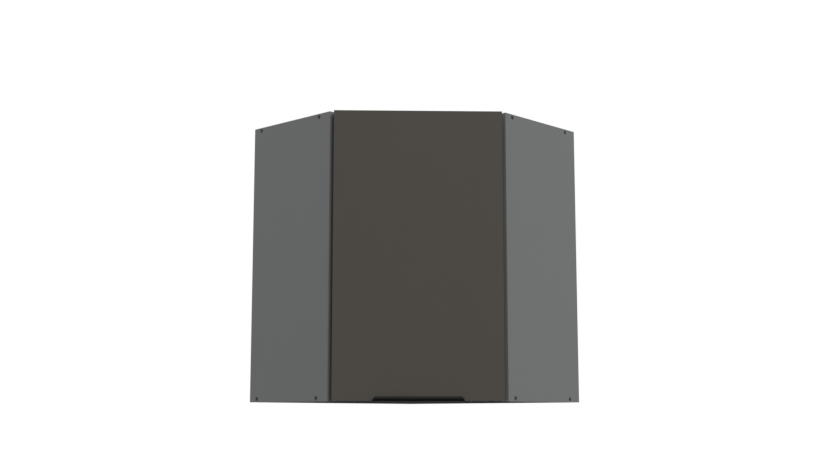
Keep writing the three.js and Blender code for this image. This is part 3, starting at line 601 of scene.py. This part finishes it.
def connector_screws():
    """Countersunk screws with a hexagon socket, from the sides into the top and bottom."""
    radius = CONNECTOR_HEAD_RADIUS
    height = CONNECTOR_HEAD_HEIGHT
    rounding = CONNECTOR_HEAD_ROUND
    shank = CONNECTOR_SHANK * radius
    head_sides, shank_sides = CONNECTOR_SIDES
    head = [(shank, -height),
            (CONNECTOR_SHOULDER[0] * radius, -CONNECTOR_SHOULDER[1] * height)]
    head += arc((radius - rounding, -rounding), rounding, 0, 90, 4)
    for side, direction in (("left", Vector((0, -1, 0))), ("right", Vector((1, 0, 0)))):
        for end in ("bottom_rear", "bottom_front", "top_rear", "top_front"):
            node = f"connector_screw_{side}_{end}"
            low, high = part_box(node)
            face = high if side == "right" else low
            middle = (low + high) / 2
            reach = (face - middle).dot(direction)
            top = middle + direction * reach
            builder = bmesh.new()
            driven_head(builder, head, head_sides, circle(CONNECTOR_SOCKET_RADIUS, 6),
                        CONNECTOR_SOCKET_DEPTH, CONNECTOR_SOCKET_TAPER)
            turned(builder, [(shank, CONNECTOR_TIP - 2 * reach), (shank, -SHANK_START * height)],
                   shank_sides)
            piece = put(f"connector_{side}_{end}", builder, "connector_steel", "cabinet",
                        aim(top, direction))
            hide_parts(node)


# ------------------------------------------------------------------ small cross-head screws

SCREW_HEAD_RADIUS = 3.6 * MM
SCREW_HEAD_HEIGHT = 1.4 * MM
SCREW_SHANK_RADIUS = 1.7 * MM
SCREW_LENGTH = 12.4 * MM
SCREW_SIDES = (36, 20)  # of the head and of the shank
SCREW_ROUND = 0.55  # as a share of the head's height
SCREW_CROSS = (0.58, 0.24)  # the recess's reach and width, as shares of the head's radius
SCREW_CROSS_DEPTH = 0.7  # as a share of the head's height
SCREW_CROSS_TAPER = 0.7
SCREW_POINT = ((0.2, 0), (0.8, 2), (1, 3))  # radii and heights, both in the shank's radius
ADJUSTER_HEAD_RADIUS = 4 * MM
ADJUSTER_HEAD_HEIGHT = 2 * MM
ADJUSTER_SHANK_RADIUS = 2.6 * MM


def cross_screw(name, body, top, direction, twist, head=SCREW_HEAD_RADIUS,
                height=SCREW_HEAD_HEIGHT, shank=SCREW_SHANK_RADIUS, length=SCREW_LENGTH):
    """A head with a round edge and a cross recess, top at a point and facing direction."""
    builder = bmesh.new()
    edge = SCREW_ROUND * height
    profile = [(head, -height), (head, -edge)] + arc((head - edge, -edge), edge, 15, 90, 5)
    cross = cross_outline(*(share * head for share in SCREW_CROSS))
    head_sides, shank_sides = SCREW_SIDES
    driven_head(builder, profile, head_sides, cross, SCREW_CROSS_DEPTH * height,
                SCREW_CROSS_TAPER)
    point = [(radius * shank, rise * shank - length) for radius, rise in SCREW_POINT]
    turned(builder, point + [(shank, -SHANK_START * height)], shank_sides)
    return put(name, builder, "zinc_steel", body, aim(top, direction, twist))


def screw_for(name, node, body, direction, twist, **sizes):
    """Stands for a screw node: its head's top and its length are the node's own."""
    middle = center_of(node)
    reaches = [(vertex.co - middle).dot(direction) for vertex in NODES[node].data.vertices]
    top = middle + direction * max(reaches)
    screw = cross_screw(name, body, top, direction, twist,
                        length=max(reaches) - min(reaches), **sizes)
    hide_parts(node)


def small_screws():
    """The hinges', the handle's and the hangers' screws, no two turned alike."""
    inward = -OUT
    for index, level in enumerate(("lower", "upper")):
        for turn, end in enumerate(("low", "high")):
            twist = 0.4 + 0.9 * turn + 0.5 * index
            screw_for(f"plate_screw_{level}_{end}", f"hinge_plate_screw_{level}_{end}",
                      "cabinet", Vector((0, 1, 0)), twist)
            screw_for(f"cup_screw_{level}_{end}", f"hinge_cup_screw_{level}_{end}",
                      "door", inward, twist + 0.7)
    for turn, side in enumerate(("left", "right")):
        screw_for(f"pull_screw_{side}", f"handle_screw_{side}", "door", inward, 0.3 + turn)
        screw_for(f"adjuster_{side}", f"hanger_adjuster_{side}", "cabinet",
                  Vector((1, 0, 0)) if side == "left" else Vector((0, -1, 0)), 0.2 + turn,
                  head=ADJUSTER_HEAD_RADIUS, height=ADJUSTER_HEAD_HEIGHT,
                  shank=ADJUSTER_SHANK_RADIUS)


# ------------------------------------------------------------------ hinge cups and arm screws

CUP_CENTRE = 22 * MM  # from the door's hinge-side edge
CUP_SIDES = 72
CUP_OUTER = 17.5 * MM
CUP_INNER = 16.4 * MM
CUP_FLOOR = -11 * MM
CUP_BASE = -12 * MM
CUP_BEND = 3 * MM
CUP_RIM = 18.6 * MM  # lies on the door round the bore
RIM_ROUND = 0.4 * MM
MOUTH_ROUND = 0.6 * MM
RIM_SEAT = 0.1 * MM
RIM_TOP = 1.0 * MM
TAB_OFFSET = 8 * MM  # screw tabs, from the cup's centre towards the door's middle
TAB_SPACING = 24 * MM
TAB_RADIUS = 6 * MM
TAB_DROP = 0.06 * MM  # how far a tab's face lies under the rim's
TAB_LIP = 0.25 * MM  # bevel round a tab
# Pin axes: from the door's hinge-side edge, and from its back.
CUP_PINS = {"outer": (9.74 * MM, -2.96 * MM), "inner": (9.25 * MM, -7.79 * MM)}
CUP_PIN_RADIUS = 1.2 * MM
CUP_PIN_SIDES = 20
LINK_END = 2.5 * MM  # what lies this close to a pin belongs to its link's end
LINK_PLAY = 0.3 * MM  # between a pin's shoulder and its link
ARM_TOP = 17 * MM  # web of the hinge arm, over the side panel's inner face
ARM_SCREWS = {"front": 22 * MM, "rear": 52 * MM}  # behind the side panel's front edge
ARM_SCREW_STANDS = 1.2 * MM  # over the arm's web
ARM_SCREW_HEAD_RADIUS = 3.4 * MM
ARM_SCREW_HEAD_HEIGHT = 1.3 * MM
ARM_SCREW_LENGTH = 8 * MM


def cup_shell(builder):
    """A deep-drawn cup about z, its rim on the plane z = 0."""
    outside = arc((CUP_OUTER - CUP_BEND, CUP_BASE + CUP_BEND), CUP_BEND, -90, 0, 8)
    rim = [(CUP_OUTER, RIM_SEAT), (CUP_RIM, RIM_SEAT)]
    rim += arc((CUP_RIM - RIM_ROUND, RIM_TOP - RIM_ROUND), RIM_ROUND, 0, 90, 4)
    rim += arc((CUP_INNER + MOUTH_ROUND, RIM_TOP - MOUTH_ROUND), MOUTH_ROUND, 90, 180, 5)
    inside = arc((CUP_INNER - CUP_BEND, CUP_FLOOR + CUP_BEND), CUP_BEND, 0, -90, 8)
    turned(builder, outside + rim + inside, CUP_SIDES)


def screw_tab(builder, end):
    """A tab with a round end that reaches from the cup's rim to a screw."""
    outline = arc((TAB_OFFSET, TAB_SPACING), TAB_RADIUS, 0, 180, 16)
    start = math.degrees(math.acos((TAB_OFFSET - TAB_RADIUS) / CUP_OUTER))
    stop = math.degrees(math.acos((TAB_OFFSET + TAB_RADIUS) / CUP_OUTER))
    outline += arc((0, 0), CUP_OUTER, start, stop, 10)
    if end < 0:
        outline = [(x, -y) for x, y in reversed(outline)]
    middle = Vector((TAB_OFFSET, end * TAB_SPACING))
    top = RIM_TOP - TAB_DROP
    rings = []
    for level, inset in ((RIM_SEAT, 0.0), (top - TAB_LIP, 0.0), (top, TAB_LIP)):
        ring = []
        for point in outline:
            away = Vector(point) - middle
            ring.append((*(Vector(point) - away.normalized() * inset), level))
        rings.append(ring)
    loft(builder, rings)


def link_reach(node, axis):
    """How far a link's end reaches up and down from its middle, close round a cup pin."""
    points = [point - axis for point in door_points(node)]
    return max(abs(point.z) for point in points if point.xy.length < LINK_END)


def cup_pins(level, edge):
    """Two stubs on each pin axis, from beside the link's end to the cup's wall."""
    for name, (x, y) in CUP_PINS.items():
        axis = edge + Vector((x, y, 0))
        inner_end = link_reach(f"hinge_{name}_link_{level}", axis) + LINK_PLAY
        outer_end = math.sqrt(CUP_INNER ** 2 - (x - CUP_CENTRE) ** 2)
        builder = bmesh.new()
        for end in (-1, 1):
            turned(builder, [(CUP_PIN_RADIUS, end * inner_end),
                             (CUP_PIN_RADIUS, end * outer_end)], CUP_PIN_SIDES)
        put(f"cup_pin_{level}_{name}", builder, "hinge_steel", "door",
            DOOR_FRAME @ Matrix.Translation(axis))


def arm_screws(level, height):
    """The adjusting screws in the web of a hinge's arm."""
    face = LEFT_SIDE[1].y + ARM_TOP + ARM_SCREW_STANDS
    for turn, (name, back) in enumerate(ARM_SCREWS.items()):
        top = Vector((LEFT_SIDE[1].x - back, face, height))
        cross_screw(f"arm_screw_{level}_{name}", "cabinet", top, Vector((0, 1, 0)), 0.5 + turn,
                    head=ARM_SCREW_HEAD_RADIUS, height=ARM_SCREW_HEAD_HEIGHT,
                    length=ARM_SCREW_LENGTH)


def hinge_details():
    """On each hinge a deep-drawn cup with its screw tabs and pins, and the arm's screws."""
    lie = Matrix(((1, 0, 0, 0), (0, 0, 1, 0), (0, -1, 0, 0), (0, 0, 0, 1)))
    for level, height in HINGE_LEVELS.items():
        edge = Vector((DOOR_LOW.x, DOOR_HIGH.y, height))
        place = DOOR_FRAME @ Matrix.Translation(edge + Vector((CUP_CENTRE, 0, 0))) @ lie
        builder = bmesh.new()
        cup_shell(builder)
        for end in (-1, 1):
            screw_tab(builder, end)
        cup = put(f"cup_{level}", builder, "hinge_steel", "door", place)
        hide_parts(f"hinge_cup_{level}")
        cup_pins(level, edge)
        arm_screws(level, height)


# ------------------------------------------------------------------ hanger covers

COVER_INSET = 3 * MM  # from the housing's edges
COVER_CORNER = 4 * MM
COVER_LEAST_CORNER = 1 * MM
COVER_THICK = 1.4 * MM
COVER_LIP = 0.5 * MM  # rounds the cover's edges
COVER_LIP_SHARE = 0.3  # of the lip, where its middle ring lies
COVER_FRAME = 3.5 * MM  # raised border round the sunk field
COVER_SUNK = 0.7 * MM
COVER_SCREW_RISE = 17 * MM  # fixing screws, above and below the middle
COVER_SCREW_STANDS = 0.5 * MM  # over the cover


def rounded_rectangle(width, height, radius):
    """A closed line round the origin."""
    x = width / 2 - radius
    y = height / 2 - radius
    return (arc((x, y), radius, 0, 90, 6) + arc((-x, y), radius, 90, 180, 6)
            + arc((-x, -y), radius, 180, 270, 6) + arc((x, -y), radius, 270, 360, 6))


def cover_mesh(width, height):
    """A plate on z = 0 with a round edge and a sunk field."""
    lip_middle = COVER_LIP_SHARE * COVER_LIP
    rings = []
    for level, inset in (
        (0.0, 0.0),
        (COVER_THICK - COVER_LIP, 0.0),
        (COVER_THICK - lip_middle, lip_middle),
        (COVER_THICK, COVER_LIP),
        (COVER_THICK, COVER_FRAME),
        (COVER_THICK - COVER_SUNK, COVER_FRAME + COVER_LIP),
    ):
        outline = rounded_rectangle(width - 2 * inset, height - 2 * inset,
                                    max(COVER_CORNER - inset, COVER_LEAST_CORNER))
        rings.append([(x, y, level) for x, y in outline])
    builder = bmesh.new()
    loft(builder, rings)
    return builder


def hanger_covers():
    """A moulded cover with two fixing screws on each hanger housing."""
    upright = Matrix.Rotation(-math.pi / 2, 4, "X")
    for side, direction, turned_by in (
        ("left", Vector((0, 1, 0)), 0.0),
        ("right", Vector((-1, 0, 0)), math.pi / 2),
    ):
        low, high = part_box(f"hanger_housing_{side}")
        size = high - low
        across, depth = (size.x, size.y) if side == "left" else (size.y, size.x)
        face = (low + high) / 2 + direction * depth / 2
        builder = cover_mesh(across - 2 * COVER_INSET, size.z - 2 * COVER_INSET)
        place = Matrix.Translation(face) @ Matrix.Rotation(turned_by, 4, "Z") @ upright
        put(f"hanger_cover_{side}", builder, "grey_plastic", "cabinet", place)
        surface = face + direction * (COVER_THICK + COVER_SCREW_STANDS)
        for turn, (end, rise) in enumerate((("low", -COVER_SCREW_RISE),
                                            ("high", COVER_SCREW_RISE))):
            cross_screw(f"hanger_screw_{side}_{end}", "cabinet", surface + UP * rise, direction,
                        0.6 + turn)


# ------------------------------------------------------------------ bumpers

BUMPER_RADIUS = 5 * MM
BUMPER_FOOT = 1.1 * MM
BUMPER_STEPS = 10
BUMPER_SIDES = 40
BUMPER_TIP = 0.3 * MM


def bumpers():
    """Clear domes between the door and the edges of the top and bottom boards."""
    for level in ("lower", "upper"):
        node = f"bumper_{level}"
        low, high = door_box(node)
        height = high.y - low.y
        crown = height - BUMPER_FOOT
        profile = [(BUMPER_RADIUS, 0.0)]
        for i in range(BUMPER_STEPS):
            angle = math.pi / 2 * i / BUMPER_STEPS
            profile.append((BUMPER_RADIUS * math.cos(angle), BUMPER_FOOT + crown * math.sin(angle)))
        profile.append((BUMPER_TIP, height))
        builder = bmesh.new()
        turned(builder, profile, BUMPER_SIDES)
        place = DOOR_FRAME @ Vector(((low.x + high.x) / 2, low.y, (low.z + high.z) / 2))
        piece = put(f"dome_{level}", builder, "bumper_rubber", "door", aim(place, -OUT))
        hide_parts(node)


# ------------------------------------------------------------------ handle

PULL_SHEET = 1.5 * MM
PULL_BEND = 1.6 * MM  # radius of the bends, in the sheet's middle
PULL_BEND_STEPS = 6
PULL_SLOPE_RUN = 9 * MM  # from the lip's front back to the slope's foot
PULL_SLOPE_TOP = 6.3 * MM
PULL_LIP_TOP = 11.5 * MM
PULL_SLANT = 7 * MM  # by which each end of the lip is shorter at its top
PULL_TAB_REACH = 100 * MM  # half the tab's length at its top
PULL_TAB_START = 1 * MM  # above the floor, where the tab begins to narrow
PULL_TAB_RISE = 3 * MM
PULL_STATIONS = (-1.0, -0.994, -0.5, 0.0, 0.5, 0.994, 1.0)  # as shares of half the length
PULL_EDGE = 0.3 * MM
TIP_ANGLES = (math.pi / 4, math.pi / 2, 3 * math.pi / 4)


def bent_line(points, radius, steps):
    """A line through the points with round corners, each of that many steps."""
    line = [Vector(points[0])]
    for before, corner, after in zip(points, points[1:], points[2:]):
        corner = Vector(corner)
        back = (Vector(before) - corner).normalized()
        ahead = (Vector(after) - corner).normalized()
        half = back.angle(ahead) / 2
        distance = radius / math.tan(half)
        center = corner + (back + ahead).normalized() * (radius / math.sin(half))
        start = corner + back * distance - center
        end = corner + ahead * distance - center
        sweep = start.angle_signed(end)
        for i in range(steps + 1):
            line.append(center + Matrix.Rotation(-sweep * i / steps, 2) @ start)
    line.append(Vector(points[-1]))
    return line


def tip(point, normal, along, half):
    """The round end of a thickened line."""
    return [point + normal * half * math.cos(angle) + along * half * math.sin(angle)
            for angle in TIP_ANGLES]


def thickened(line, thickness):
    """A closed outline around a line, thickness wide, with round tips."""
    sides = []
    for i, point in enumerate(line):
        before = line[max(0, i - 1)]
        after = line[min(len(line) - 1, i + 1)]
        along = (after - before).normalized()
        sides.append((point, Vector((-along.y, along.x)), along))
    half = thickness / 2
    point, normal, along = sides[-1]
    end_tip = tip(point, normal, along, half)
    point, normal, along = sides[0]
    start_tip = tip(point, -normal, -along, half)
    return ([point + normal * half for point, normal, _ in sides] + end_tip
            + [point - normal * half for point, normal, _ in reversed(sides)] + start_tip)


def edge_pull():
    """The bent sheet handle: a tab behind the door, a floor under it and a lip in front."""
    low, high = door_box("door_handle")
    half = PULL_SHEET / 2
    floor = low.z + half
    front = low.y + half
    tab = high.y - half
    reach = high.x
    path = [
        (tab, high.z - half),
        (tab, floor),
        (low.y + PULL_SLOPE_RUN, floor),
        (front, PULL_SLOPE_TOP),
        (front, PULL_LIP_TOP - half),
    ]
    outline = thickened(bent_line(path, PULL_BEND, PULL_BEND_STEPS), PULL_SHEET)

    def end_of(point):
        """How far the sheet reaches along the door at a point of its section."""
        if point.x > DOOR_LOW.y:  # behind the door's face
            rise = max(0.0, min(1.0, (point.y - floor - PULL_TAB_START) / PULL_TAB_RISE))
            return reach + (PULL_TAB_REACH - reach) * rise
        return reach - PULL_SLANT * max(0.0, point.y) / PULL_LIP_TOP

    builder = bmesh.new()
    rings = [[(station * end_of(point), point.x, point.y) for point in outline]
             for station in PULL_STATIONS]
    loft(builder, rings)
    piece = put("edge_pull", builder, "black_metal", "door", DOOR_FRAME)
    soften(piece, PULL_EDGE)
    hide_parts("door_handle")


# ------------------------------------------------------------------ edge bands

BAND = 0.35 * MM
BAND_SEAT = 0.02 * MM
BAND_INSET = 0.05 * MM  # from the board's faces
BAND_TRIM = 0.3 * MM  # from the ends of the edge
FRONT_DEPTH = 0.1 * MM  # points this close to a board's foremost one belong to its front edge


def edge_band(name, start, end, out):
    """A thin strip with round long edges on a board's front edge, from start to end."""
    along = (end - start).normalized()
    across = along.cross(out)
    half = BOARD / 2 - BAND_INSET
    section = arc((-half + BAND, 0), BAND, 180, 90, 4) + arc((half - BAND, 0), BAND, 90, 0, 4)
    builder = bmesh.new()
    rings = [[point + across * x + out * (y + BAND_SEAT) for x, y in section]
             for point in (start, end)]
    loft(builder, rings)
    put(name, builder, "carcass_board", "cabinet", material=EDGE_BAND)


def edge_bands():
    """Bands on the front edges of both sides, the top, the bottom and the shelves."""
    bottom = UP * BAND_TRIM
    top = UP * (HEIGHT - BAND_TRIM)
    left = Vector((LEFT_SIDE[1].x, (LEFT_SIDE[0].y + LEFT_SIDE[1].y) / 2, 0))
    edge_band("edge_band_side_left", left + bottom, left + top, Vector((1, 0, 0)))
    right = Vector(((RIGHT_SIDE[0].x + RIGHT_SIDE[1].x) / 2, RIGHT_SIDE[0].y, 0))
    edge_band("edge_band_side_right", right + bottom, right + top, Vector((0, -1, 0)))
    for node in ("bottom_panel", "top_panel", "shelf_lower", "shelf_upper"):
        points = door_points(node)
        front = min(point.y for point in points)
        tips = [point for point in points if point.y < front + FRONT_DEPTH]
        reach = max(point.x for point in tips) - BAND_TRIM
        level = sum(point.z for point in tips) / len(tips)
        ends = [DOOR_FRAME @ Vector((x, front, level)) for x in (-reach, reach)]
        edge_band(f"edge_band_{node}", ends[0], ends[1], OUT)


# ------------------------------------------------------------------ camera, light, stage

CAMERA_PLACE = (2.46898, -2.62174, -0.03498)
CAMERA_YAW = -0.0318  # radians off the door's own direction
CAMERA_PITCH = 0.1475
CAMERA_FOCUS = 1222.3  # focal length in pixels of the photograph's width
PHOTO_WIDTH = 825
SENSOR_WIDTH = 36.0
CAMERA_FAR = 60.0


def add_camera():
    """Matched to the photograph: just below the cabinet, a little left of straight on."""
    data = bpy.data.cameras.new("camera")
    camera = bpy.data.objects.new("camera", data)
    bpy.context.scene.collection.objects.link(camera)
    camera.location = CAMERA_PLACE
    level = RIGHT * -math.sin(CAMERA_YAW) - OUT * math.cos(CAMERA_YAW)
    direction = level * math.cos(CAMERA_PITCH) + UP * math.sin(CAMERA_PITCH)
    camera.rotation_euler = direction.to_track_quat("-Z", "Y").to_euler()
    data.sensor_width = SENSOR_WIDTH
    data.lens = CAMERA_FOCUS / PHOTO_WIDTH * SENSOR_WIDTH
    data.clip_end = CAMERA_FAR
    bpy.context.scene.camera = camera


AMBIENT = 0.86  # the world's light, where white is 1
KEY_STRENGTH = 1.62
KEY_SOFTNESS = math.radians(30)
KEY_FROM = Vector((1, -0.45, 0.51))


def add_key_light():
    """One broad soft light from the right, in front and above."""
    data = bpy.data.lights.new("key", "SUN")
    data.energy = KEY_STRENGTH
    data.angle = KEY_SOFTNESS
    light = bpy.data.objects.new("key", data)
    bpy.context.scene.collection.objects.link(light)
    light.rotation_euler = (-KEY_FROM).to_track_quat("-Z", "Y").to_euler()


def seen_rays(tree):
    """1 for rays that show a surface to the camera, directly, mirrored or through glass."""
    path = tree.nodes.new("ShaderNodeLightPath")
    seen = path.outputs["Is Camera Ray"]
    for output in ("Is Glossy Ray", "Is Transmission Ray"):
        either = tree.nodes.new("ShaderNodeMath")
        either.operation = "MAXIMUM"
        tree.links.new(seen, either.inputs[0])
        tree.links.new(path.outputs[output], either.inputs[1])
        seen = either.outputs["Value"]
    return seen


def add_world():
    """White where it is seen or mirrored, a soft grey light for everything else."""
    world = bpy.data.worlds.new("studio")
    bpy.context.scene.world = world
    world.use_nodes = True
    tree = world.node_tree
    background = tree.nodes["Background"]
    background.inputs["Color"].default_value = (1, 1, 1, 1)
    strength = tree.nodes.new("ShaderNodeMapRange")
    strength.inputs["To Min"].default_value = AMBIENT
    strength.inputs["To Max"].default_value = 1.0
    tree.links.new(seen_rays(tree), strength.inputs["Value"])
    tree.links.new(strength.outputs["Result"], background.inputs["Strength"])


FLOOR_LEVEL = -1.4  # a wall cabinet hangs this far above the floor
FLOOR_HALF = 7.0
FLOOR_ROUGHNESS = 0.9
FLOOR_SEEN = 0.95  # its colour where it is seen, in the light and in the cabinet's shadow
FLOOR_BOUNCE = 0.155  # its colour for the light that it throws up at the cabinet


def add_floor():
    """A pale floor that shows the cabinet's shadow."""
    middle = Vector((CORNERS_MIDDLE.x, CORNERS_MIDDLE.y, FLOOR_LEVEL))
    builder = bmesh.new()
    corners = [(-1, -1, 0), (1, -1, 0), (1, 1, 0), (-1, 1, 0)]
    builder.faces.new([builder.verts.new(middle + FLOOR_HALF * Vector(corner))
                       for corner in corners])
    mesh = bpy.data.meshes.new("floor")
    builder.to_mesh(mesh)
    builder.free()
    floor = bpy.data.objects.new("floor", mesh)
    bpy.context.scene.collection.objects.link(floor)
    recipe = Recipe("pale_floor", FLOOR_ROUGHNESS, specular=0.0)
    bounce = (FLOOR_BOUNCE, FLOOR_BOUNCE, FLOOR_BOUNCE, 1.0)
    pale = (FLOOR_SEEN, FLOOR_SEEN, FLOOR_SEEN, 1.0)
    recipe.color(recipe.blend(seen_rays(recipe.tree), bounce, pale))
    mesh.materials.append(recipe.material)


bpy.context.scene.view_settings.view_transform = "Standard"
add_camera()
add_world()
add_floor()
add_key_light()

dress_nodes()
connector_screws()
small_screws()
hinge_details()
hanger_covers()
bumpers()
edge_pull()
edge_bands()
